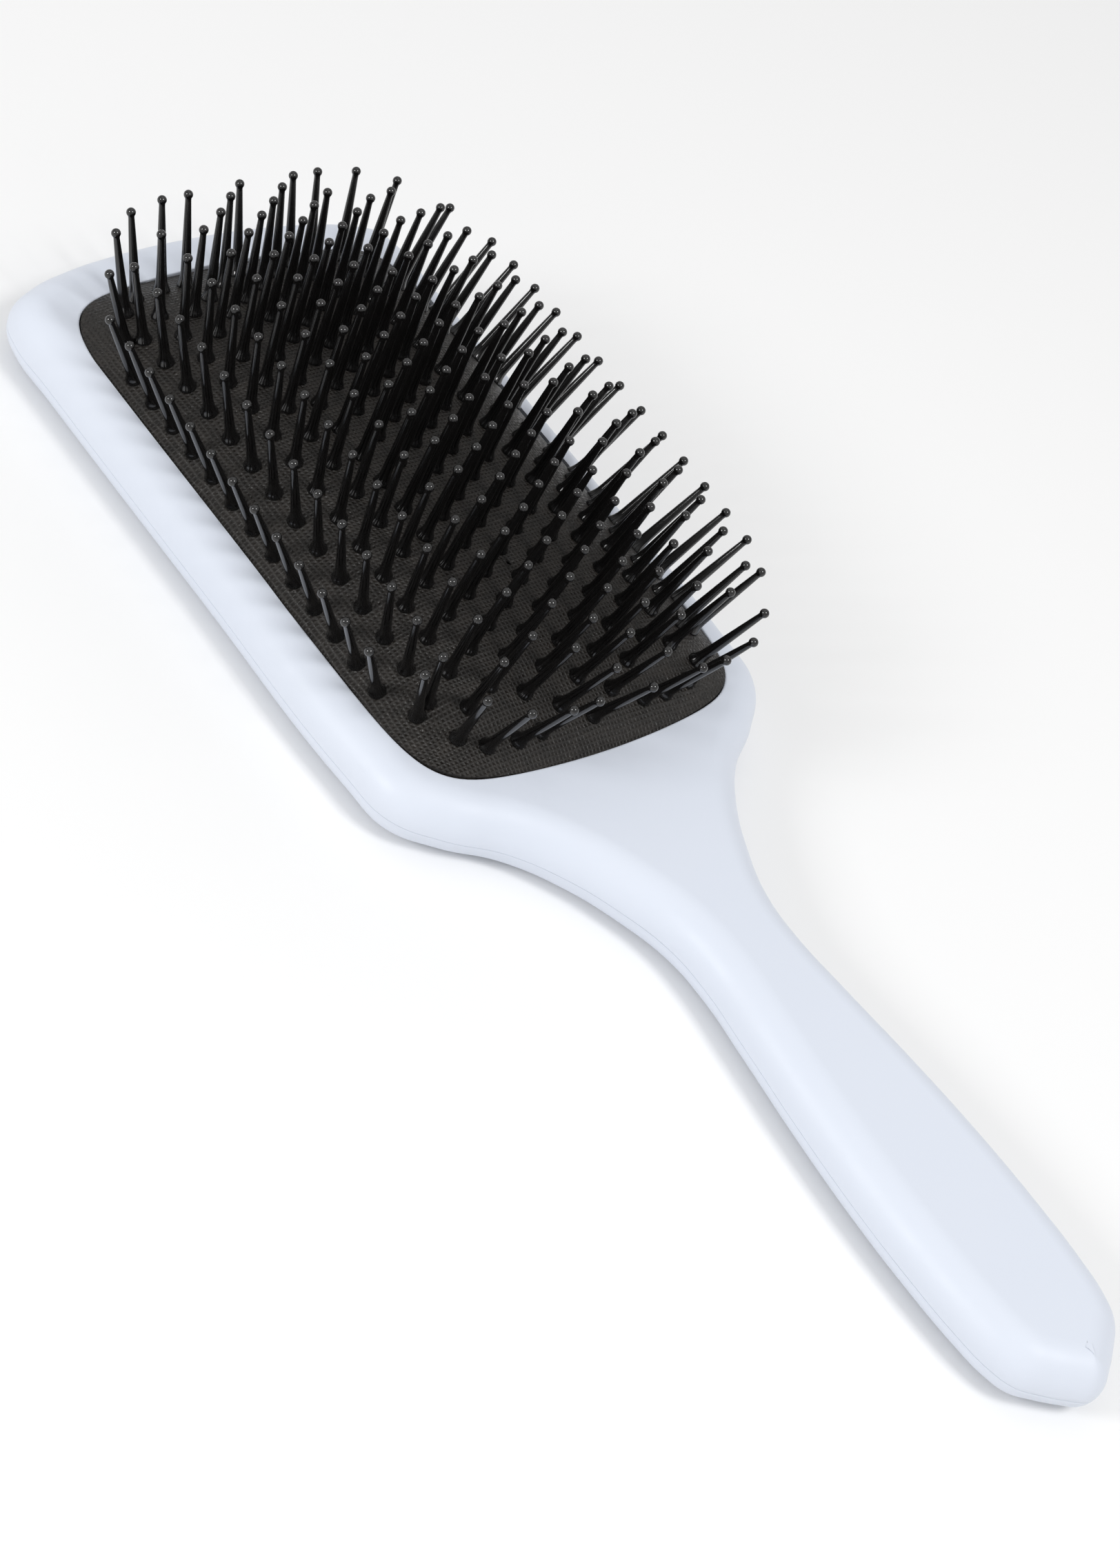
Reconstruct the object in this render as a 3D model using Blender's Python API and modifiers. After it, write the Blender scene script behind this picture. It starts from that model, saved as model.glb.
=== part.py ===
"""A cushioned paddle hairbrush lying on its back, pins up, head towards +Y.

The origin is at the bottom centre of the brush. The body is two moulded shells. A domed rubber
membrane is clamped in the head's opening between the front shell and a ring, over an air chamber
that a plate closes, and the pins stand on the membrane in columns that run along the brush.
"""

import math

import bmesh
import bpy
from mathutils import Matrix, Vector

MM = 0.001

# Driving dimensions, in millimetres
LENGTH = 250.0
THICKNESS = 12.0
WALL = 2.2
EDGE_ROLL = 5.95
GAP = 0.3
PARTING_Z = 5.3

OPENING_CENTRE_Y = 57.6
OPENING_HALF_WIDTH = 35.0
OPENING_HALF_LENGTH = 53.7
OPENING_BOW = 3.7
OPENING_TAPER = 0.012
OPENING_SQUARENESS = 9.0
PAD_CELLS = (14, 20)

DOME_HEIGHT = 9.8
DOME_EDGE_DROP = 0.8
DOME_POWER = 3.5
RUBBER = 1.3
SKIRT_GAP = 0.35
FLANGE_REACH = 0.7

FRAME_HEIGHT = 2.0
PLATE_HEIGHT = 1.4
FRAME_REACH = 2.6
FRAME_WIDTH = 4.4
PLATE_REACH = 0.8

PIN_REACH = 15.8
PIN_NECK = 0.9
BALL_RADIUS = 0.9
SHAFT_RADIUS = 0.5
RIBBON_HEIGHT = 0.8
RIBBON_HALF_WIDTH = 0.65
RIBBON_DEPTH = 1.8
ROCK_HEIGHT = 0.75
SLOT_WIDTH = 2.1
SLOT_REACH = 3.0
LEAN_ACROSS = 0.09
LEAN_ACROSS_EDGE = 0.62
LEAN_ACROSS_AT = 32.4
LEAN_ALONG = 0.18
LEAN_ALONG_MIDDLE = 0.08
LEAN_ALONG_END = 0.26
LEAN_ALONG_AT = 52.7
CORNER_RELIEF = 0.16

# One row per pin column from the middle out: distance from the middle, number of evenly spaced
# pins, their pitch, and the place of the pin that closes the column at the pad's contour
PIN_COLUMNS = (
    (0.0, 18, 6.12, None),
    (5.5, 17, 6.14, None),
    (11.0, 18, 6.10, None),
    (16.4, 14, 6.60, (15.8, 52.0)),
    (21.6, 17, 6.40, None),
    (27.0, 14, 6.34, (25.6, 48.4)),
    (32.0, 13, 5.89, (29.4, 42.3)),
)

SCREW_PLACES = ((17.0, 60.8), (14.0, -60.8))
SCREW_RADIUS = 1.0
SCREW_HEAD_RADIUS = 1.7
SCREW_HEAD_HEIGHT = 1.0
EAR_RADIUS = 2.7
EAR_LENGTH = 6.0
BOSS_RADIUS = 2.2
VENT_RADIUS = 1.0

# Right-hand half of the body's outline, from the top of the head to the end of the handle
BODY_OUTLINE = (
    (0.0, 125.0), (16.0, 124.3), (27.0, 122.7), (33.8, 120.8), (38.9, 117.7), (40.9, 112.2),
    (41.0, 102.0), (40.9, 55.0), (40.6, 14.0), (39.2, 4.6), (32.8, -2.2), (24.6, -7.9),
    (18.2, -15.4), (13.4, -24.2), (10.3, -33.0), (9.7, -41.0), (10.7, -52.5), (12.3, -67.5),
    (13.4, -83.0), (13.6, -97.0), (13.2, -107.0), (12.3, -113.6), (10.6, -117.8),
    (7.6, -120.6), (3.6, -123.5), (1.4, -124.8), (0.0, -125.0),
)

RIM_Z = THICKNESS
INNER_TOP_Z = THICKNESS - WALL
FLANGE_TOP_Z = INNER_TOP_Z - GAP
FLANGE_BOTTOM_Z = FLANGE_TOP_Z - RUBBER
FRAME_TOP_Z = FLANGE_BOTTOM_Z - GAP
FRAME_BOTTOM_Z = FRAME_TOP_Z - FRAME_HEIGHT
PLATE_TOP_Z = FRAME_BOTTOM_Z - GAP
PLATE_BOTTOM_Z = PLATE_TOP_Z - PLATE_HEIGHT


def clear_scene():
    for item in list(bpy.data.objects):
        bpy.data.objects.remove(item, do_unlink=True)
    for group in list(bpy.data.collections):
        bpy.data.collections.remove(group)


def new_collection(name):
    group = bpy.data.collections.new(name)
    bpy.context.scene.collection.children.link(group)
    return group


def plastic(name, colour, roughness):
    """A moulded material of one colour."""
    material = bpy.data.materials.new(name)
    material.use_nodes = True
    shader = material.node_tree.nodes["Principled BSDF"]
    shader.inputs["Base Color"].default_value = (*colour, 1.0)
    shader.inputs["Roughness"].default_value = roughness
    shader.inputs["Metallic"].default_value = 0.0
    return material


def steel(name):
    material = plastic(name, (0.55, 0.55, 0.56), 0.3)
    material.node_tree.nodes["Principled BSDF"].inputs["Metallic"].default_value = 1.0
    return material


def add_object(name, mesh, group, material=None):
    """An object in a collection, its mesh given in millimetres and turned into metres."""
    mesh.transform(Matrix.Scale(MM, 4))
    item = bpy.data.objects.new(name, mesh)
    group.objects.link(item)
    if material:
        mesh.materials.append(material)
    return item


def mesh_of(work, name):
    """A finished mesh from a bmesh, with its faces pointing out."""
    bmesh.ops.recalc_face_normals(work, faces=work.faces)
    mesh = bpy.data.meshes.new(name)
    work.to_mesh(mesh)
    work.free()
    return mesh


def cut(item, cutter, operation="DIFFERENCE"):
    modifier = item.modifiers.new(f"{operation.lower()} {cutter.name}", "BOOLEAN")
    modifier.operation = operation
    modifier.object = cutter
    modifier.solver = "EXACT"


def add_cutter(name, mesh, group):
    item = add_object(name, mesh, group)
    item.hide_render = True
    item.display_type = "WIRE"
    return item


def filled_curve_mesh(name, spline_maker, half_height, shrink=0.0, roll=0.0, roll_steps=0):
    """The closed mesh of a flat filled outline, extruded, with its edges rolled over."""
    curve = bpy.data.curves.new(name, "CURVE")
    curve.dimensions = "2D"
    curve.fill_mode = "BOTH"
    curve.extrude = half_height - roll
    curve.bevel_depth = roll
    curve.bevel_resolution = roll_steps
    curve.offset = -shrink
    spline_maker(curve)
    carrier = bpy.data.objects.new(name, curve)
    bpy.context.scene.collection.objects.link(carrier)
    bpy.context.view_layer.update()
    shape = carrier.evaluated_get(bpy.context.evaluated_depsgraph_get())
    mesh = bpy.data.meshes.new_from_object(shape)
    bpy.data.objects.remove(carrier, do_unlink=True)
    bpy.data.curves.remove(curve)
    return mesh


def poly_spline(points):
    """A maker of a closed straight-sided spline through the points."""
    def make(curve):
        spline = curve.splines.new("POLY")
        spline.points.add(len(points) - 1)
        for knot, (x, y) in zip(spline.points, points):
            knot.co = (x, y, 0.0, 1.0)
        spline.use_cyclic_u = True
    return make


def body_spline(curve):
    """The body's outline as one smooth closed curve, mirrored about the middle."""
    left = [(-x, y) for x, y in reversed(BODY_OUTLINE[1:-1])]
    points = list(BODY_OUTLINE) + left
    spline = curve.splines.new("BEZIER")
    spline.bezier_points.add(len(points) - 1)
    for knot, (x, y) in zip(spline.bezier_points, points):
        knot.co = (x, y, 0.0)
        knot.handle_left_type = "AUTO"
        knot.handle_right_type = "AUTO"
    spline.use_cyclic_u = True
    spline.resolution_u = 2
    curve.resolution_u = 2


def prism(name, points, bottom, top):
    """An upright prism over a closed outline."""
    mesh = filled_curve_mesh(name, poly_spline(points), (top - bottom) / 2)
    work = bmesh.new()
    work.from_mesh(mesh)
    bpy.data.meshes.remove(mesh)
    bmesh.ops.remove_doubles(work, verts=work.verts, dist=0.0001)
    bmesh.ops.translate(work, verts=work.verts, vec=(0.0, 0.0, (top + bottom) / 2))
    return mesh_of(work, name)


def cylinder(name, radius, bottom, top, place, sides=12):
    work = bmesh.new()
    bmesh.ops.create_cone(
        work, cap_ends=True, segments=sides, radius1=radius, radius2=radius, depth=top - bottom)
    bmesh.ops.translate(work, verts=work.verts, vec=(*place, (top + bottom) / 2))
    return mesh_of(work, name)


def ear(name, place, bottom, top):
    """A tab around a screw hole, round outside and straight in towards the pad's middle."""
    x, y = place
    outward = math.copysign(1.0, y - OPENING_CENTRE_Y)
    points = [(x + EAR_RADIUS, y - outward * EAR_LENGTH)]
    for step in range(9):
        angle = math.pi * step / 8
        points.append((x + EAR_RADIUS * math.cos(angle), y + outward * EAR_RADIUS * math.sin(angle)))
    points.append((x - EAR_RADIUS, y - outward * EAR_LENGTH))
    return prism(name, points, bottom, top)


def pad_point(u, v, grow=0.0):
    """Where a point of the square from -1 to 1 lands on the pad, in plan.

    The square's edge becomes the opening's outline, grown by a distance: straight sides, round
    corners, ends that bow outwards, and a little more width at the head's top.
    """
    reach = max(abs(u), abs(v))
    aside = min(abs(u), abs(v)) / reach if reach else 0.0
    corner = (1 + aside ** OPENING_SQUARENESS) ** (-1 / OPENING_SQUARENESS)
    pull = 1 + (corner - 1) * reach ** 4
    across, along = u * pull, v * pull
    x = (OPENING_HALF_WIDTH + grow) * across * (1 + OPENING_TAPER * along)
    y = (OPENING_HALF_LENGTH + grow) * along + OPENING_BOW * along * (1 - across ** 2)
    return x, OPENING_CENTRE_Y + y


def crowded(t):
    """Spread values from -1 to 1 so that they crowd towards both ends."""
    return math.sin(math.pi / 2 * t)


def pad_outline(grow=0.0):
    """The opening's outline, grown by a distance, as points running once around."""
    across, along = PAD_CELLS
    bottom = [(crowded(2 * n / across - 1), -1.0) for n in range(across)]
    right = [(1.0, crowded(2 * n / along - 1)) for n in range(along)]
    half = bottom + right
    return [pad_point(side * u, side * v, grow) for side in (1, -1) for u, v in half]


def dome_z(x, y):
    """Height of the rubber's face above the table at a place on the pad."""
    half_length = OPENING_HALF_LENGTH + OPENING_BOW
    across = min(1.0, abs(x) / OPENING_HALF_WIDTH)
    along = min(1.0, abs(y - OPENING_CENTRE_Y) / half_length)
    crown = (1 - across ** DOME_POWER) * (1 - along ** DOME_POWER)
    return RIM_Z - DOME_EDGE_DROP + (DOME_HEIGHT + DOME_EDGE_DROP) * crown


def pin_direction(x, y):
    """Which way a pin points: nearly square to the dome, so the outer pins fan outwards."""
    across = x / LEAN_ACROSS_AT
    along = (y - OPENING_CENTRE_Y) / LEAN_ALONG_AT
    lean_x = LEAN_ACROSS * across + LEAN_ACROSS_EDGE * across ** 3
    lean_y = LEAN_ALONG * along + LEAN_ALONG_MIDDLE * along ** 3 + LEAN_ALONG_END * along ** 7
    lean_x -= CORNER_RELIEF * across * along ** 2
    lean_y -= CORNER_RELIEF * along ** 3 * across ** 2
    return Vector((lean_x, lean_y, 1.0)).normalized()


def column_places(column, side):
    """The feet of one column's pins, from the handle's end of the pad to the head's."""
    distance, count, pitch, closing = column
    first = -pitch * (count - 1) / 2
    places = [(side * distance, OPENING_CENTRE_Y + first + pitch * n) for n in range(count)]
    if closing:
        x, y = closing
        places.insert(0, (side * x, OPENING_CENTRE_Y - y))
        places.append((side * x, OPENING_CENTRE_Y + y))
    return places


def rolled_body(name, inset=0.0):
    """The whole body as one solid with its edges rolled over, or the same shrunk by an inset."""
    mesh = filled_curve_mesh(
        name, body_spline, THICKNESS / 2 - inset, EDGE_ROLL, EDGE_ROLL - inset, roll_steps=2)
    work = bmesh.new()
    work.from_mesh(mesh)
    bpy.data.meshes.remove(mesh)
    bmesh.ops.remove_doubles(work, verts=work.verts, dist=0.0001)
    bmesh.ops.translate(work, verts=work.verts, vec=(0.0, 0.0, THICKNESS / 2))
    return mesh_of(work, name)


def build_half(name, parts, cutters, material, side):
    """One moulded half of the body: side 1 is above the parting plane and -1 below it."""
    shell = add_object(name, rolled_body(name), parts, material)
    work = bmesh.new()
    bmesh.ops.create_cube(work, size=2 * LENGTH)
    lift = PARTING_Z + side * (GAP / 2 - LENGTH)
    bmesh.ops.translate(work, verts=work.verts, vec=(0.0, 0.0, lift))
    cut(shell, add_cutter(f"{name}_parting", mesh_of(work, f"{name}_parting"), cutters))
    cavity = f"{name}_cavity"
    cut(shell, add_cutter(cavity, rolled_body(cavity, WALL), cutters))
    return shell


def screw_places():
    for x, y in SCREW_PLACES:
        for side in (-1, 1):
            yield side * x, OPENING_CENTRE_Y + y


def build_front_shell(parts, cutters, material):
    """The front half: the rim around the opening, the neck's and the handle's front."""
    shell = build_half("front_shell", parts, cutters, material, 1)
    opening = prism("opening_cut", pad_outline(), INNER_TOP_Z - 1.0, RIM_Z + 1.0)
    cut(shell, add_cutter("opening_cut", opening, cutters))
    boss_bottom = FRAME_TOP_Z + GAP
    for number, place in enumerate(screw_places(), 1):
        boss = cylinder(f"boss_{number}", BOSS_RADIUS, boss_bottom, INNER_TOP_Z + 0.8, place)
        cut(shell, add_cutter(f"boss_{number}", boss, cutters), "UNION")
        pilot = cylinder(
            f"pilot_{number}", SCREW_RADIUS + GAP, boss_bottom - 0.5, INNER_TOP_Z + 0.9, place)
        cut(shell, add_cutter(f"pilot_{number}", pilot, cutters))
    return shell


def build_membrane(parts, cutters, material):
    """The domed rubber pad: a sheet with a skirt down into the opening and a clamped flange."""
    work = bmesh.new()
    bmesh.ops.create_grid(work, x_segments=PAD_CELLS[0], y_segments=PAD_CELLS[1], size=1.0)
    for vertex in work.verts:
        x, y = pad_point(crowded(vertex.co.x), crowded(vertex.co.y), -SKIRT_GAP)
        vertex.co = (x, y, dome_z(x, y))
    centre = Vector((0.0, OPENING_CENTRE_Y))
    for outward in (0.0, FLANGE_REACH + SKIRT_GAP):
        edges = [edge for edge in work.edges if edge.is_boundary]
        made = bmesh.ops.extrude_edge_only(work, edges=edges)["geom"]
        for vertex in (item for item in made if isinstance(item, bmesh.types.BMVert)):
            vertex.co.xy += (vertex.co.xy - centre).normalized() * outward
            vertex.co.z = FLANGE_TOP_Z
    bmesh.ops.recalc_face_normals(work, faces=work.faces)
    if sum(face.normal.z for face in work.faces) < 0:
        bmesh.ops.reverse_faces(work, faces=work.faces)
    mesh = bpy.data.meshes.new("cushion_membrane")
    work.to_mesh(mesh)
    work.free()
    membrane = add_object("cushion_membrane", mesh, parts, material)
    sheet = membrane.modifiers.new("sheet", "SOLIDIFY")
    sheet.thickness = RUBBER * MM
    sheet.offset = -1.0
    sheet.use_even_offset = True
    return membrane


def slot_cutter(name, places, cutters):
    """A thin wall through the membrane along one pin column, leaning as its pins do."""
    path = places[:2] + places[4:-2:3] + places[-2:]
    path.insert(0, (path[0][0], path[0][1] - SLOT_WIDTH / 2))
    path.append((path[-1][0], path[-1][1] + SLOT_WIDTH / 2))
    work = bmesh.new()
    lower = []
    for x, y in path:
        lean = Vector((pin_direction(x, y).x / pin_direction(x, y).z, 0.0, 1.0))
        lower.append(work.verts.new(Vector((x, y, dome_z(x, y))) - lean * SLOT_REACH))
    edges = [work.edges.new(pair) for pair in zip(lower, lower[1:])]
    made = bmesh.ops.extrude_edge_only(work, edges=edges)["geom"]
    for vertex in (item for item in made if isinstance(item, bmesh.types.BMVert)):
        direction = pin_direction(vertex.co.x, vertex.co.y)
        lean = Vector((direction.x / direction.z, 0.0, 1.0))
        vertex.co += lean * 2 * SLOT_REACH
    mesh = bpy.data.meshes.new(name)
    work.to_mesh(mesh)
    work.free()
    cutter = add_cutter(name, mesh, cutters)
    width = cutter.modifiers.new("width", "SOLIDIFY")
    width.thickness = SLOT_WIDTH * MM
    width.offset = 0.0
    return cutter


def build_frame(parts, cutters, material):
    """The ring that clamps the membrane's flange, with ears for its screws."""
    ring = add_object(
        "cushion_frame",
        prism("cushion_frame", pad_outline(FRAME_REACH), FRAME_BOTTOM_Z, FRAME_TOP_Z),
        parts, material)
    for number, place in enumerate(screw_places(), 1):
        tab = ear(f"frame_ear_{number}", place, FRAME_BOTTOM_Z, FRAME_TOP_Z)
        cut(ring, add_cutter(f"frame_ear_{number}", tab, cutters), "UNION")
    inner = prism(
        "frame_inner", pad_outline(FRAME_REACH - FRAME_WIDTH), FRAME_BOTTOM_Z - 1, FRAME_TOP_Z + 1)
    cut(ring, add_cutter("frame_inner", inner, cutters))
    return ring


def build_plate(parts, cutters, material):
    """The plate that closes the air chamber, with a vent through it."""
    plate = add_object(
        "backing_plate",
        prism("backing_plate", pad_outline(PLATE_REACH), PLATE_BOTTOM_Z, PLATE_TOP_Z),
        parts, material)
    for number, place in enumerate(screw_places(), 1):
        tab = ear(f"plate_ear_{number}", place, PLATE_BOTTOM_Z, PLATE_TOP_Z)
        cut(plate, add_cutter(f"plate_ear_{number}", tab, cutters), "UNION")
    vent = cylinder(
        "plate_vent", VENT_RADIUS, PLATE_BOTTOM_Z - 1, PLATE_TOP_Z + 1, (0.0, OPENING_CENTRE_Y))
    cut(plate, add_cutter("plate_vent", vent, cutters))
    return plate


def drill_screw_holes(items, cutters):
    for number, place in enumerate(screw_places(), 1):
        hole = cylinder(
            f"screw_hole_{number}", SCREW_RADIUS + GAP, PLATE_BOTTOM_Z - 1, FRAME_TOP_Z + 0.2, place)
        cutter = add_cutter(f"screw_hole_{number}", hole, cutters)
        for item in items:
            cut(item, cutter)


def build_screws(parts, material):
    """The four screws that hold the plate and the ring up against the front shell."""
    for number, (x, y) in enumerate(screw_places(), 1):
        work = bmesh.new()
        head_top = PLATE_BOTTOM_Z - GAP
        bmesh.ops.create_cone(
            work, cap_ends=True, segments=12, radius1=SCREW_HEAD_RADIUS, radius2=SCREW_HEAD_RADIUS,
            depth=SCREW_HEAD_HEIGHT)
        bmesh.ops.translate(work, verts=work.verts, vec=(0, 0, head_top - SCREW_HEAD_HEIGHT / 2))
        top_face = max(work.faces, key=lambda face: face.calc_center_median().z)
        bmesh.ops.inset_region(
            work, faces=[top_face], thickness=SCREW_HEAD_RADIUS - SCREW_RADIUS)
        made = bmesh.ops.extrude_face_region(work, geom=[top_face])["geom"]
        bmesh.ops.delete(work, geom=[top_face], context="FACES")
        for vertex in (item for item in made if isinstance(item, bmesh.types.BMVert)):
            vertex.co.z = INNER_TOP_Z + 0.4
        screw = add_object(f"frame_screw_{number}", mesh_of(work, "frame_screw"), parts, material)
        screw.location = (x * MM, y * MM, 0.0)


def extrude_pin(work, face, place, levels):
    """Draw a pin out of a face of the ribbon, through square sections along its direction."""
    foot = Vector((*place, dome_z(*place)))
    direction = pin_direction(*place)
    side = Vector((direction.z, 0.0, -direction.x)).normalized()
    front = direction.cross(side)
    for distance, radius in levels:
        made = bmesh.ops.extrude_face_region(work, geom=[face])["geom"]
        bmesh.ops.delete(work, geom=[face], context="FACES_ONLY")
        face = next(item for item in made if isinstance(item, bmesh.types.BMFace))
        centre = face.calc_center_median()
        for vertex in face.verts:
            offset = vertex.co - centre
            right = math.copysign(radius, offset.dot(side))
            ahead = math.copysign(radius, offset.dot(front))
            vertex.co = foot + direction * distance + side * right + front * ahead


def column_mesh(name, places):
    """One column of pins, joined behind the rubber by a thin ribbon that follows the dome."""
    work = bmesh.new()
    lower = []
    for x, y in places:
        direction = pin_direction(x, y)
        root = Vector((x, y, dome_z(x, y))) - direction * RIBBON_DEPTH
        for step in (-RIBBON_HALF_WIDTH, RIBBON_HALF_WIDTH):
            place = root + Vector((0.0, step, 0.0))
            place.x -= RIBBON_HALF_WIDTH
            lower.append(work.verts.new(place))
    edges = [work.edges.new(pair) for pair in zip(lower, lower[1:])]
    made = bmesh.ops.extrude_edge_only(work, edges=edges)["geom"]
    for vertex in (item for item in made if isinstance(item, bmesh.types.BMVert)):
        vertex.co.x += 2 * RIBBON_HALF_WIDTH
    faces = work.faces[:]
    made = bmesh.ops.extrude_face_region(work, geom=faces, use_keep_orig=True)["geom"]
    bottom = [item for item in made if isinstance(item, bmesh.types.BMVert)]
    for vertex in bottom:
        vertex.co.z -= RIBBON_HEIGHT
    bmesh.ops.recalc_face_normals(work, faces=work.faces)
    levels = (
        (PIN_REACH - PIN_NECK, SHAFT_RADIUS),
        (PIN_REACH, BALL_RADIUS),
        (PIN_REACH + BALL_RADIUS, SHAFT_RADIUS),
    )
    top_faces = [face for face in faces if face.is_valid]
    ordered = sorted(top_faces, key=lambda face: face.calc_center_median().y)
    for face, place in zip(ordered[::2], places):
        extrude_pin(work, face, place, levels)
    return mesh_of(work, name)


def build_columns(parts, cutters, membrane, material):
    """All the pin columns, numbered from -X to +X, each with its origin on its rocking axis."""
    reach = len(PIN_COLUMNS) - 1
    for index in range(-reach, reach + 1):
        side = -1 if index < 0 else 1
        column = PIN_COLUMNS[abs(index)]
        places = column_places(column, side)
        number = index + reach + 1
        name = f"pin_column_{number:02d}"
        axis_x = side * column[0]
        axis_z = RIM_Z + ROCK_HEIGHT * (dome_z(axis_x, OPENING_CENTRE_Y) - RIM_Z)
        axis = Vector((axis_x, OPENING_CENTRE_Y, axis_z)) * MM
        mesh = column_mesh(name, places)
        item = add_object(name, mesh, parts, material)
        mesh.transform(Matrix.Translation(-axis))
        item.location = axis
        cut(membrane, slot_cutter(f"slot_{number:02d}", places, cutters))


def main():
    clear_scene()
    parts = new_collection("paddle_brush")
    cutters = new_collection("cutters")
    body = plastic("soft_touch_plastic", (0.76, 0.82, 0.90), 0.55)
    rubber = plastic("cushion_rubber", (0.02, 0.02, 0.02), 0.6)
    nylon = plastic("pin_nylon", (0.012, 0.012, 0.014), 0.3)
    inner = plastic("inner_plastic", (0.05, 0.05, 0.055), 0.5)
    build_front_shell(parts, cutters, body)
    build_half("rear_shell", parts, cutters, body, -1)
    membrane = build_membrane(parts, cutters, rubber)
    frame = build_frame(parts, cutters, inner)
    plate = build_plate(parts, cutters, inner)
    drill_screw_holes((frame, plate), cutters)
    build_screws(parts, steel("screw_steel"))
    build_columns(parts, cutters, membrane, nylon)


main()
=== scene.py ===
"""The paddle brush's visible surfaces, built on its packed mechanical model."""

import math

import bmesh
import bpy
from mathutils import Matrix, Vector


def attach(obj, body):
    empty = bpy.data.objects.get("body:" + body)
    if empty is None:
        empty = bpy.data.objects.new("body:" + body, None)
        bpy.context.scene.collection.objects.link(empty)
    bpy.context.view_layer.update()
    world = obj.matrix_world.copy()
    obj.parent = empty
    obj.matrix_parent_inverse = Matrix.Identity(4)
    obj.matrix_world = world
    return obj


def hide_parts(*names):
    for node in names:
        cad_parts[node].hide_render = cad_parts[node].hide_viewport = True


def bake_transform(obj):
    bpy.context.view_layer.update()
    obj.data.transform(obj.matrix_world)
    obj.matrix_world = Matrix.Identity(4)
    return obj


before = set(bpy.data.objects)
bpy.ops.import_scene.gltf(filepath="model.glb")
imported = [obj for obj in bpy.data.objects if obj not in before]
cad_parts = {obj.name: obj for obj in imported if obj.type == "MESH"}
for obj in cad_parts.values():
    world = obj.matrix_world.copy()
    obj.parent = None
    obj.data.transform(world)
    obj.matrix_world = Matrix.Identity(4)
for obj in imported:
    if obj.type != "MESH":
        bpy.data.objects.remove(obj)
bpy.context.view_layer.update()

MM = 0.001

# The body, in millimetres
THICKNESS = 12.0
PARTING_Z = 5.3
WALL = 2.2
EDGE_ROLL = 5.95
PARTING_GAP = 0.03
LIP_FILLET = 0.10
MOUTH_FILLET = 0.35
TONGUE_GAP = 0.2
TONGUE_WIDTH = 0.8
TONGUE_TOP = 2.2
TONGUE_FOOT = -1.3

# The opening and the rubber dome
OPENING_CENTRE_Y = 57.6
OPENING_HALF_WIDTH = 35.0
OPENING_HALF_LENGTH = 53.7
OPENING_BOW = 3.7
OPENING_TAPER = 0.012
OPENING_SQUARENESS = 9.0
DOME_HEIGHT = 9.8
DOME_EDGE_DROP = 0.8
DOME_POWER = 3.5
RUBBER = 1.3
SKIRT_GAP = 0.12
FLANGE_REACH = 0.7
FLANGE_GAP = 0.3
DOME_CELLS = (110, 170)
MOUTH_CELLS = (48, 72)
VENT_Y = 33.2
VENT_RADIUS = 0.55

# How the pins fan out
LEAN_ACROSS = 0.09
LEAN_ACROSS_EDGE = 0.62
LEAN_ACROSS_AT = 32.4
LEAN_ALONG = 0.18
LEAN_ALONG_MIDDLE = 0.08
LEAN_ALONG_END = 0.26
LEAN_ALONG_AT = 52.7
CORNER_RELIEF = 0.16

# One row per pin column from the middle out: distance from the middle, number of evenly spaced
# pins, their pitch, and the place of the pin that closes the column at the pad's contour
PIN_COLUMNS = (
    (0.0, 18, 6.12, None),
    (5.5, 17, 6.14, None),
    (11.0, 18, 6.10, None),
    (16.4, 14, 6.60, (15.8, 52.0)),
    (21.6, 17, 6.40, None),
    (27.0, 14, 6.34, (25.6, 48.4)),
    (32.0, 13, 5.89, (29.4, 42.3)),
)

# One pin's section, radius and height above the rubber: head, neck, flared foot, drawn shaft
PIN_PROFILE = (
    (0.0, -2.3), (1.5, -2.3), (1.7, -2.1), (1.7, -1.75), (1.5, -1.6), (0.75, -1.6),
    (0.75, -0.9), (1.42, -0.6), (1.50, 0.12), (1.45, 0.40), (1.28, 0.72), (1.09, 1.25),
    (0.97, 1.9), (0.90, 2.7), (0.86, 4.0), (0.77, 7.0), (0.68, 10.0), (0.58, 13.2),
    (0.53, 14.6), (0.52, 14.95), (0.55, 15.12),
)
BALL_HEIGHT = 15.8
BALL_RADIUS = 0.80
BALL_START = -46.0
BALL_STEPS = 10
PIN_SIDES = 20

# Right-hand half of the body's outline, from the top of the head to the end of the handle
BODY_OUTLINE = (
    (0.0, 125.0), (16.0, 124.3), (27.0, 122.7), (33.8, 120.8), (38.9, 117.7), (40.9, 112.2),
    (41.0, 102.0), (40.9, 55.0), (40.6, 14.0), (39.2, 4.6), (32.8, -2.2), (24.6, -7.9),
    (18.2, -15.4), (13.4, -24.2), (10.3, -33.0), (9.7, -41.0), (10.7, -52.5), (12.3, -67.5),
    (13.4, -83.0), (13.6, -97.0), (13.2, -107.0), (12.3, -113.6), (10.6, -117.8),
    (7.6, -120.6), (3.6, -123.5), (1.4, -124.8), (0.0, -125.0),
)

OUTLINE_STEPS = 8

# The camera, in metres, with its lens in millimetres, and the studio's lamps: name, place in
# metres, side in metres and power in watts
CAMERA_PLACE = (-0.3487, -0.2070, 0.3734)
CAMERA_RIGHT = (0.7352, -0.5752, 0.3587)
CAMERA_UP = (0.2523, 0.7232, 0.6429)
CAMERA_LENS = 110.94
SKY_STRENGTH = 0.60
LAMP_TARGET = (0.0, 0.0, 0.01)
LAMPS = (
    ("softbox_right", (0.037, -0.514, 0.88), 0.26, 3.3),
    ("softbox_left", (-0.908, 0.226, 0.50), 0.26, 3.6),
    ("soft_top", (0.1, 0.35, 1.2), 0.9, 1.0),
)
FLOOR_SIZE = 4000.0
FLOOR_DROP = 0.0002


# ---------------------------------------------------------------- materials

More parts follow.
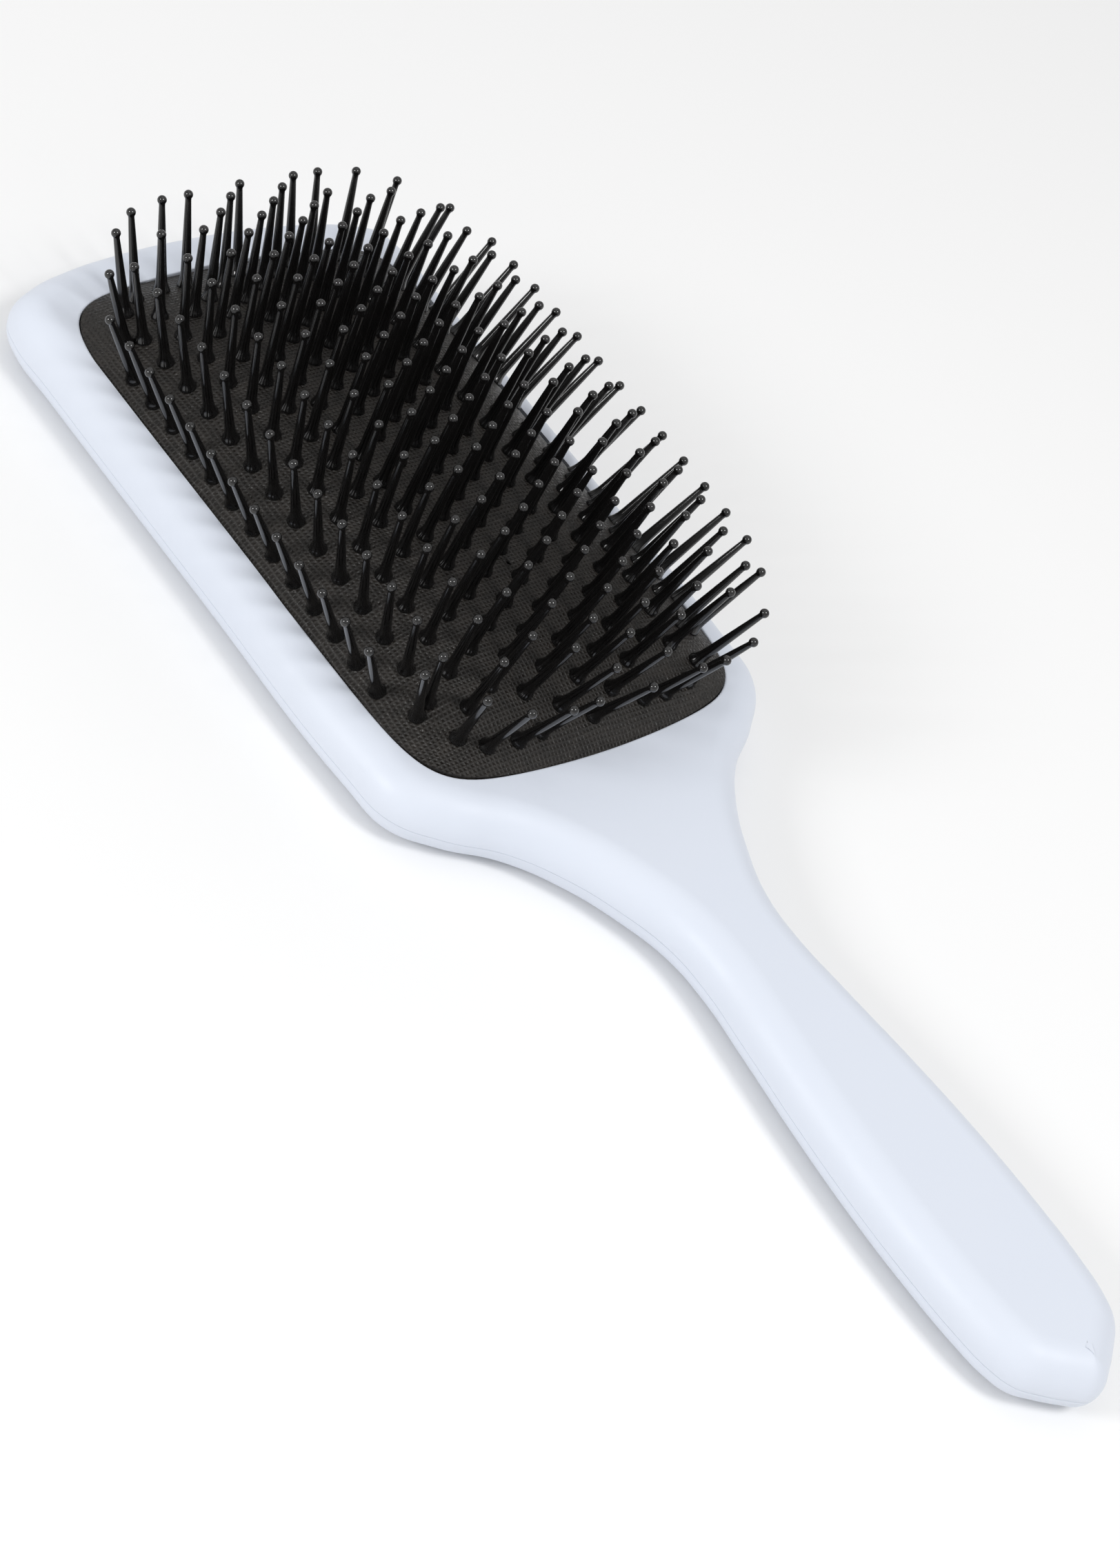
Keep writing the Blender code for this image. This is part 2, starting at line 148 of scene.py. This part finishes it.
class Nodes:
    """A short way to write a material's node tree."""

    def __init__(self, name):
        self.material = bpy.data.materials.new(name)
        self.material.use_nodes = True
        self.tree = self.material.node_tree
        self.shader = self.tree.nodes["Principled BSDF"]

    def add(self, kind, **settings):
        node = self.tree.nodes.new(kind)
        for key, value in settings.items():
            setattr(node, key, value)
        return node

    def link(self, source, target):
        self.tree.links.new(source, target)

    def math(self, operation, first, second=None):
        node = self.add("ShaderNodeMath", operation=operation)
        for socket, value in zip(node.inputs, (first, second)):
            if value is None:
                continue
            if isinstance(value, (int, float)):
                socket.default_value = value
            else:
                self.link(value, socket)
        return node.outputs[0]

    def place(self):
        """Where a point is on the object, in millimetres."""
        coordinates = self.add("ShaderNodeTexCoord")
        scale = self.add("ShaderNodeVectorMath", operation="SCALE")
        scale.inputs["Scale"].default_value = 1 / MM
        self.link(coordinates.outputs["Object"], scale.inputs[0])
        return scale.outputs[0]

    def noise(self, place, size, detail=2.0, roughness=0.5):
        node = self.add("ShaderNodeTexNoise")
        node.inputs["Scale"].default_value = 1 / size
        node.inputs["Detail"].default_value = detail
        node.inputs["Roughness"].default_value = roughness
        self.link(place, node.inputs["Vector"])
        return node.outputs["Fac"]

    def range(self, value, low, high, to_low, to_high):
        node = self.add("ShaderNodeMapRange")
        self.link(value, node.inputs["Value"])
        limits = {"From Min": low, "From Max": high, "To Min": to_low, "To Max": to_high}
        for key, number in limits.items():
            node.inputs[key].default_value = number
        return node.outputs[0]

    def mix(self, factor, first, second):
        node = self.add("ShaderNodeMix", data_type="RGBA")
        self.link(factor, node.inputs["Factor"])
        node.inputs[6].default_value = (*first, 1.0)
        node.inputs[7].default_value = (*second, 1.0)
        return node.outputs[2]

    def bump(self, height, distance, strength=1.0, below=None):
        node = self.add("ShaderNodeBump")
        node.inputs["Strength"].default_value = strength
        node.inputs["Distance"].default_value = distance * MM
        self.link(height, node.inputs["Height"])
        if below:
            self.link(below, node.inputs["Normal"])
        return node.outputs[0]

    def set(self, **values):
        for key, value in values.items():
            socket = self.shader.inputs[key.replace("_", " ")]
            if isinstance(value, (int, float, tuple)):
                socket.default_value = value
            else:
                self.link(value, socket)


def soft_touch_material():
    """Pale bluish soft-touch paint over moulded plastic, with a very fine grain."""
    n = Nodes("soft_touch_body")
    place = n.place()
    cloud = n.noise(place, 38.0, 2.0)
    colour = n.mix(cloud, (0.680, 0.725, 0.815), (0.715, 0.755, 0.835))
    grain = n.noise(place, 0.16, 3.0, 0.6)
    ripple = n.noise(place, 14.0, 1.0)
    rough = n.range(n.noise(place, 6.0, 3.0), 0.3, 0.7, 0.40, 0.50)
    fine = n.bump(grain, 0.012, 0.5)
    n.set(
        Base_Color=colour, Roughness=rough, IOR=1.47, Specular_IOR_Level=0.42,
        Normal=n.bump(ripple, 0.05, 0.25, fine), Sheen_Weight=0.06, Sheen_Roughness=0.5)
    return n.material


def rubber_material():
    """Black rubber with the print of a fine cloth, dull and shiny in specks."""
    n = Nodes("cushion_rubber_woven")
    place = n.place()
    parts = n.add("ShaderNodeSeparateXYZ")
    n.link(place, parts.inputs[0])
    pitch = 1.5  # two threads of the cloth
    waves = []
    for axis in ("X", "Y"):
        wobble = n.range(n.noise(place, 9.0, 2.0), 0.0, 1.0, -0.6, 0.6)
        run = n.math("ADD", parts.outputs[axis], wobble)
        wave = n.math("SINE", n.math("MULTIPLY", run, math.tau / pitch))
        waves.append(n.math("ABSOLUTE", wave))
    weave = n.math("MAXIMUM", waves[0], waves[1])
    grit = n.noise(place, 0.35, 3.0, 0.65)
    height = n.math("ADD", n.math("MULTIPLY", weave, 0.9), n.math("MULTIPLY", grit, 0.45))
    patch = n.noise(place, 2.4, 3.0, 0.6)
    worn = n.range(patch, 0.35, 0.7, 0.0, 1.0)
    colour = n.mix(worn, (0.0080, 0.0062, 0.0047), (0.0190, 0.0154, 0.0124))
    rough = n.range(n.noise(place, 0.5, 2.0), 0.40, 0.68, 0.62, 0.24)
    n.set(
        Base_Color=colour, Roughness=rough, IOR=1.5, Specular_IOR_Level=0.46,
        Normal=n.bump(height, 0.24, 1.0))
    return n.material


def nylon_material():
    """Black nylon, glossy at the ball and slightly drawn along the shaft."""
    n = Nodes("pin_nylon_black")
    place = n.place()
    streak = n.add("ShaderNodeMapping")
    streak.inputs["Scale"].default_value = (1.0, 1.0, 0.12)
    n.link(place, streak.inputs["Vector"])
    drawn = n.noise(streak.outputs[0], 0.22, 2.0)
    colour = n.mix(n.noise(place, 3.0, 2.0), (0.0035, 0.0033, 0.0033), (0.0065, 0.0060, 0.0060))
    rough = n.range(drawn, 0.3, 0.7, 0.07, 0.13)
    n.set(
        Base_Color=colour, Roughness=rough, IOR=1.5, Specular_IOR_Level=0.75,
        Normal=n.bump(drawn, 0.008, 0.3))
    return n.material


def inner_plastic_material():
    """Black moulded plastic with a fine grain, for the ring and the plate."""
    n = Nodes("inner_black_plastic")
    place = n.place()
    grain = n.noise(place, 0.3, 3.0)
    colour = n.mix(n.noise(place, 8.0, 2.0), (0.035, 0.035, 0.038), (0.055, 0.055, 0.058))
    rough = n.range(grain, 0.3, 0.7, 0.45, 0.6)
    n.set(Base_Color=colour, Roughness=rough, Normal=n.bump(grain, 0.02, 0.5))
    return n.material


def screw_material():
    """Zinc-plated steel, a little uneven in its shine."""
    n = Nodes("screw_zinc")
    place = n.place()
    grain = n.noise(place, 0.12, 3.0)
    colour = n.mix(n.noise(place, 1.5, 2.0), (0.50, 0.50, 0.50), (0.60, 0.60, 0.61))
    n.set(
        Base_Color=colour, Metallic=1.0, Roughness=n.range(grain, 0.3, 0.7, 0.25, 0.42),
        Normal=n.bump(grain, 0.01, 0.5))
    return n.material


def floor_material():
    """A plain pale surface."""
    n = Nodes("studio_floor")
    place = n.place()
    tint = n.mix(n.noise(place, 400.0, 1.0), (0.93, 0.93, 0.93), (0.916, 0.916, 0.916))
    n.set(Base_Color=tint, Roughness=0.9, Specular_IOR_Level=0.1)
    return n.material


# ---------------------------------------------------------------- shapes

def finished_mesh(name, work, material, smooth_angle):
    """A mesh in metres from a bmesh in millimetres, shaded smooth except over sharp edges."""
    bmesh.ops.recalc_face_normals(work, faces=work.faces)
    mesh = bpy.data.meshes.new(name)
    work.to_mesh(mesh)
    work.free()
    mesh.transform(Matrix.Scale(MM, 4))
    mesh.shade_smooth()
    mesh.set_sharp_from_angle(angle=math.radians(smooth_angle))
    mesh.materials.append(material)
    return mesh


def add_piece(name, work, material, group, smooth_angle=40.0):
    item = bpy.data.objects.new(name, finished_mesh(name, work, material, smooth_angle))
    group.objects.link(item)
    return item


def weighted(item):
    """Keep large flat faces flat in the shading."""
    modifier = item.modifiers.new("weighted_normals", "WEIGHTED_NORMAL")
    modifier.keep_sharp = True
    modifier.weight = 80
    return item


def smooth_loop(points, resolution):
    """A closed smooth curve through the points, as evenly enough spaced places on it."""
    curve = bpy.data.curves.new("outline", "CURVE")
    curve.dimensions = "2D"
    curve.fill_mode = "NONE"
    spline = curve.splines.new("BEZIER")
    spline.bezier_points.add(len(points) - 1)
    for knot, (x, y) in zip(spline.bezier_points, points):
        knot.co = (x, y, 0.0)
        knot.handle_left_type = "AUTO"
        knot.handle_right_type = "AUTO"
    spline.use_cyclic_u = True
    spline.resolution_u = resolution
    curve.resolution_u = resolution
    carrier = bpy.data.objects.new("outline", curve)
    bpy.context.scene.collection.objects.link(carrier)
    bpy.context.view_layer.update()
    shape = carrier.evaluated_get(bpy.context.evaluated_depsgraph_get())
    mesh = shape.to_mesh()
    places = [vertex.co.xy for vertex in mesh.vertices]
    shape.to_mesh_clear()
    bpy.data.objects.remove(carrier, do_unlink=True)
    bpy.data.curves.remove(curve)
    return places


def inward_normals(points):
    """Unit vectors pointing into a closed loop at each of its points."""
    count = len(points)
    area = sum(
        points[i].x * points[(i + 1) % count].y - points[(i + 1) % count].x * points[i].y
        for i in range(count))
    turn = 1.0 if area > 0 else -1.0
    normals = []
    for i in range(count):
        along = (points[(i + 1) % count] - points[i - 1]).normalized()
        normals.append(Vector((-along.y, along.x)) * turn)
    return normals


def crowded(t):
    """Spread values from -1 to 1 so that they crowd towards both ends."""
    return math.sin(math.pi / 2 * t)


def pad_point(u, v, grow=0.0):
    """Where a point of the square from -1 to 1 lands on the pad, in plan."""
    reach = max(abs(u), abs(v))
    aside = min(abs(u), abs(v)) / reach if reach else 0.0
    corner = (1 + aside ** OPENING_SQUARENESS) ** (-1 / OPENING_SQUARENESS)
    pull = 1 + (corner - 1) * reach ** 4
    across, along = u * pull, v * pull
    x = (OPENING_HALF_WIDTH + grow) * across * (1 + OPENING_TAPER * along)
    y = (OPENING_HALF_LENGTH + grow) * along + OPENING_BOW * along * (1 - across ** 2)
    return x, OPENING_CENTRE_Y + y


def pad_outline(cells, grow=0.0):
    """The opening's outline, grown by a distance, as points running once around."""
    across, along = cells
    bottom = [(crowded(2 * n / across - 1), -1.0) for n in range(across)]
    right = [(1.0, crowded(2 * n / along - 1)) for n in range(along)]
    half = bottom + right
    return [Vector(pad_point(side * u, side * v, grow)) for side in (1, -1) for u, v in half]


def dome_z(x, y):
    """Height of the rubber's face above the table at a place on the pad."""
    half_length = OPENING_HALF_LENGTH + OPENING_BOW
    across = min(1.0, abs(x) / OPENING_HALF_WIDTH)
    along = min(1.0, abs(y - OPENING_CENTRE_Y) / half_length)
    crown = (1 - across ** DOME_POWER) * (1 - along ** DOME_POWER)
    return THICKNESS - DOME_EDGE_DROP + (DOME_HEIGHT + DOME_EDGE_DROP) * crown


def pin_direction(x, y):
    """Which way a pin points: nearly square to the dome, so the outer pins fan outwards."""
    across = x / LEAN_ACROSS_AT
    along = (y - OPENING_CENTRE_Y) / LEAN_ALONG_AT
    lean_x = LEAN_ACROSS * across + LEAN_ACROSS_EDGE * across ** 3
    lean_y = LEAN_ALONG * along + LEAN_ALONG_MIDDLE * along ** 3 + LEAN_ALONG_END * along ** 7
    lean_x -= CORNER_RELIEF * across * along ** 2
    lean_y -= CORNER_RELIEF * along ** 3 * across ** 2
    return Vector((lean_x, lean_y, 1.0)).normalized()


def column_places(column, side):
    """The feet of one column's pins, from the handle's end of the pad to the head's."""
    distance, count, pitch, closing = column
    first = -pitch * (count - 1) / 2
    places = [(side * distance, OPENING_CENTRE_Y + first + pitch * n) for n in range(count)]
    if closing:
        x, y = closing
        places.insert(0, (side * x, OPENING_CENTRE_Y - y))
        places.append((side * x, OPENING_CENTRE_Y + y))
    return places


def bridge(work, first, second):
    """Faces between two rings of as many points."""
    count = len(first)
    for i in range(count):
        j = (i + 1) % count
        work.faces.new((first[i], first[j], second[j], second[i]))


def ring(work, points, z):
    return [work.verts.new((p[0], p[1], z)) for p in points]


def fill_between(work, *rings):
    """Close the flat region bounded by rings with triangles."""
    edges = []
    for loop in rings:
        for i, vertex in enumerate(loop):
            pair = (vertex, loop[(i + 1) % len(loop)])
            edges.append(work.edges.get(pair) or work.edges.new(pair))
    bmesh.ops.triangle_fill(work, edges=edges, use_beauty=True, use_dissolve=False)


def arc(centre_d, centre_z, radius, start, end, steps):
    """Section points (inset, height) along an arc, angles in degrees from straight out."""
    points = []
    for n in range(steps + 1):
        angle = math.radians(start + (end - start) * n / steps)
        points.append((centre_d - radius * math.cos(angle), centre_z + radius * math.sin(angle)))
    return points


def shell_piece(name, side, outline, normals, material, group):
    """One moulded half of the body: side 1 is the front with the opening, -1 the back."""
    work = bmesh.new()
    middle = THICKNESS / 2
    straight = THICKNESS / 2 - EDGE_ROLL
    lip = side * (PARTING_Z - middle) + PARTING_GAP / 2
    inner_radius = EDGE_ROLL - WALL

    def loop(inset, rise):
        points = [p + n * inset for p, n in zip(outline, normals)]
        return ring(work, points, middle + side * rise)

    start = math.degrees(math.asin((lip + LIP_FILLET - straight) / EDGE_ROLL))
    roll = arc(EDGE_ROLL, straight, EDGE_ROLL, start, 90.0, 16)
    edge = roll[0][0]
    section = [(edge + LIP_FILLET, lip), (edge + LIP_FILLET * 0.3, lip + LIP_FILLET * 0.3)] + roll
    outer = [loop(*point) for point in section]
    if side > 0:
        start = math.degrees(math.asin((lip + LIP_FILLET - straight) / inner_radius))
        bore = arc(EDGE_ROLL, straight, inner_radius, start, 90.0, 6)
        inner_section = [(bore[0][0], lip)] + bore
    else:
        near, far = WALL + TONGUE_GAP, WALL + TONGUE_GAP + TONGUE_WIDTH
        tongue = [(near, lip), (near, TONGUE_FOOT), (far, TONGUE_FOOT), (far, TONGUE_TOP)]
        inner_section = tongue + arc(EDGE_ROLL, straight, inner_radius, 44.0, 90.0, 4)
    inner = [loop(*point) for point in inner_section]
    bridge(work, outer[0], inner[0])
    for rings in (outer, inner):
        for first, second in zip(rings, rings[1:]):
            bridge(work, first, second)
    if side > 0:
        levels = [(1.0, 0.0), (0.4, 0.12), (0.12, 0.4), (0.0, 1.0), (0.0, WALL / MOUTH_FILLET)]
        mouth = [
            ring(work, pad_outline(MOUTH_CELLS, MOUTH_FILLET * out), THICKNESS - MOUTH_FILLET * down)
            for out, down in levels]
        for first, second in zip(mouth, mouth[1:]):
            bridge(work, first, second)
        fill_between(work, outer[-1], mouth[0])
        fill_between(work, inner[-1], mouth[-1])
    else:
        fill_between(work, outer[-1])
        fill_between(work, inner[-1])
    return weighted(add_piece(name, work, material, group))


def membrane_piece(material, group):
    """The rubber dome with its skirt down into the opening, its flange and its vent."""
    work = bmesh.new()
    bmesh.ops.create_grid(work, x_segments=DOME_CELLS[0], y_segments=DOME_CELLS[1], size=1.0)
    for vertex in work.verts:
        u = 0.45 * vertex.co.x + 0.55 * crowded(vertex.co.x)
        v = 0.55 * vertex.co.y + 0.45 * crowded(vertex.co.y)
        x, y = pad_point(u, v, -SKIRT_GAP)
        vertex.co = (x, y, dome_z(x, y))
    for grow in (0.0, FLANGE_REACH):
        edges = [edge for edge in work.edges if edge.is_boundary]
        made = bmesh.ops.extrude_edge_only(work, edges=edges)["geom"]
        for vertex in (item for item in made if isinstance(item, bmesh.types.BMVert)):
            out = Vector((vertex.co.x, vertex.co.y - OPENING_CENTRE_Y)).normalized()
            vertex.co.xy += out * grow
            vertex.co.z = THICKNESS - WALL - FLANGE_GAP
    vent = Vector((0.0, VENT_Y))
    opened = [
        face for face in work.faces
        if (face.calc_center_median().xy - vent).length < VENT_RADIUS]
    bmesh.ops.delete(work, geom=opened, context="FACES")
    for vertex in work.verts:
        out = vertex.co.xy - vent
        if vertex.is_boundary and out.length < 3 * VENT_RADIUS:
            vertex.co.xy = vent + out.normalized() * VENT_RADIUS
    dome = add_piece("cushion_rubber_dome", work, material, group, 50.0)
    sheet = dome.modifiers.new("sheet", "SOLIDIFY")
    sheet.thickness = RUBBER * MM
    sheet.offset = -1.0
    return dome


def pin_mesh(material):
    """One moulded pin along +Z from where it leaves the rubber: head, foot, shaft and ball."""
    profile = list(PIN_PROFILE)
    start = math.radians(BALL_START)
    for n in range(BALL_STEPS):
        angle = start + (math.pi / 2 - start) * n / BALL_STEPS
        profile.append((BALL_RADIUS * math.cos(angle), BALL_HEIGHT + BALL_RADIUS * math.sin(angle)))
    profile.append((0.0, BALL_HEIGHT + BALL_RADIUS))
    sides = PIN_SIDES
    work = bmesh.new()
    previous = None
    for radius, height in profile:
        if radius == 0.0:
            current = [work.verts.new((0.0, 0.0, height))]
        else:
            current = [
                work.verts.new((
                    radius * math.cos(math.tau * s / sides),
                    radius * math.sin(math.tau * s / sides), height))
                for s in range(sides)]
        if previous:
            for s in range(sides):
                t = (s + 1) % sides
                if len(previous) == 1:
                    work.faces.new((previous[0], current[t], current[s]))
                elif len(current) == 1:
                    work.faces.new((previous[s], previous[t], current[0]))
                else:
                    work.faces.new((previous[s], previous[t], current[t], current[s]))
        previous = current
    return finished_mesh("pin", work, material, 42.0)


def place_pins(mesh, group):
    """Every pin as its own piece, riding on its column and turned about its own axis."""
    reach = len(PIN_COLUMNS) - 1
    for index in range(-reach, reach + 1):
        side = -1 if index < 0 else 1
        number = index + reach + 1
        for count, (x, y) in enumerate(column_places(PIN_COLUMNS[abs(index)], side), 1):
            pin = bpy.data.objects.new(f"pin_{number:02d}_{count:02d}", mesh)
            group.objects.link(pin)
            turn = Vector((0, 0, 1)).rotation_difference(pin_direction(x, y))
            spin = Matrix.Rotation(0.37 * count + 1.1 * number, 4, "Z")
            spot = Matrix.Translation(Vector((x, y, dome_z(x, y))) * MM)
            pin.matrix_world = spot @ turn.to_matrix().to_4x4() @ spin
            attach(pin, f"column_{number:02d}")
            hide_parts(f"pin_column_{number:02d}")


def build_camera():
    """The camera looks down on the head's left side, rolled so that the handle points low right."""
    right = Vector(CAMERA_RIGHT)
    back = right.cross(Vector(CAMERA_UP)).normalized()
    up = back.cross(right).normalized()
    right = up.cross(back).normalized()
    data = bpy.data.cameras.new("camera")
    data.sensor_fit = "HORIZONTAL"
    data.sensor_width = 36.0
    data.lens = CAMERA_LENS
    data.clip_start = 0.01
    data.clip_end = 20.0
    camera = bpy.data.objects.new("camera", data)
    bpy.context.scene.collection.objects.link(camera)
    turn = Matrix((right, up, back)).transposed().to_4x4()
    camera.matrix_world = Matrix.Translation(CAMERA_PLACE) @ turn
    bpy.context.scene.camera = camera


def area_light(name, place, size, power):
    """A square lamp that faces the brush."""
    data = bpy.data.lights.new(name, "AREA")
    data.shape = "SQUARE"
    data.size = size
    data.energy = power
    light = bpy.data.objects.new(name, data)
    bpy.context.scene.collection.objects.link(light)
    light.location = place
    aim = Vector(LAMP_TARGET) - Vector(place)
    light.rotation_euler = aim.to_track_quat("-Z", "Y").to_euler()


def build_studio():
    """An even white surround, the lamps and the floor."""
    world = bpy.data.worlds.new("studio")
    bpy.context.scene.world = world
    world.use_nodes = True
    background = world.node_tree.nodes["Background"]
    background.inputs["Color"].default_value = (1.0, 1.0, 1.0, 1.0)
    background.inputs["Strength"].default_value = SKY_STRENGTH
    for lamp in LAMPS:
        area_light(*lamp)
    work = bmesh.new()
    bmesh.ops.create_grid(work, x_segments=1, y_segments=1, size=FLOOR_SIZE)
    floor = add_piece("floor", work, floor_material(), bpy.context.scene.collection)
    floor.location.z = -FLOOR_DROP
    bpy.context.scene.view_settings.view_transform = "Standard"


def finish_carried_nodes(plastic_inside, zinc):
    """The pieces inside keep their shapes from the mechanical model."""
    finishes = {"cushion_frame": plastic_inside, "backing_plate": plastic_inside}
    finishes.update({f"frame_screw_{number}": zinc for number in range(1, 5)})
    for name, material in finishes.items():
        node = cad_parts[name]
        node.data.materials.clear()
        node.data.materials.append(material)


def main():
    """The camera and studio, then the shells, the rubber and the pins on their bodies."""
    group = bpy.data.collections.new("paddle_brush_surfaces")
    bpy.context.scene.collection.children.link(group)
    build_camera()
    build_studio()
    body = soft_touch_material()
    rubber = rubber_material()
    nylon = nylon_material()
    finish_carried_nodes(inner_plastic_material(), screw_material())

    left = [(-x, y) for x, y in reversed(BODY_OUTLINE[1:-1])]
    outline = smooth_loop(list(BODY_OUTLINE) + left, OUTLINE_STEPS)
    normals = inward_normals(outline)
    for name, side in (("front_shell", 1), ("rear_shell", -1)):
        shell = shell_piece(f"{name}_skin", side, outline, normals, body, group)
        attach(shell, "body")
        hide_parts(name)

    dome = membrane_piece(rubber, group)
    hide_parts("cushion_membrane")
    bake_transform(dome)

    place_pins(pin_mesh(nylon), group)


main()
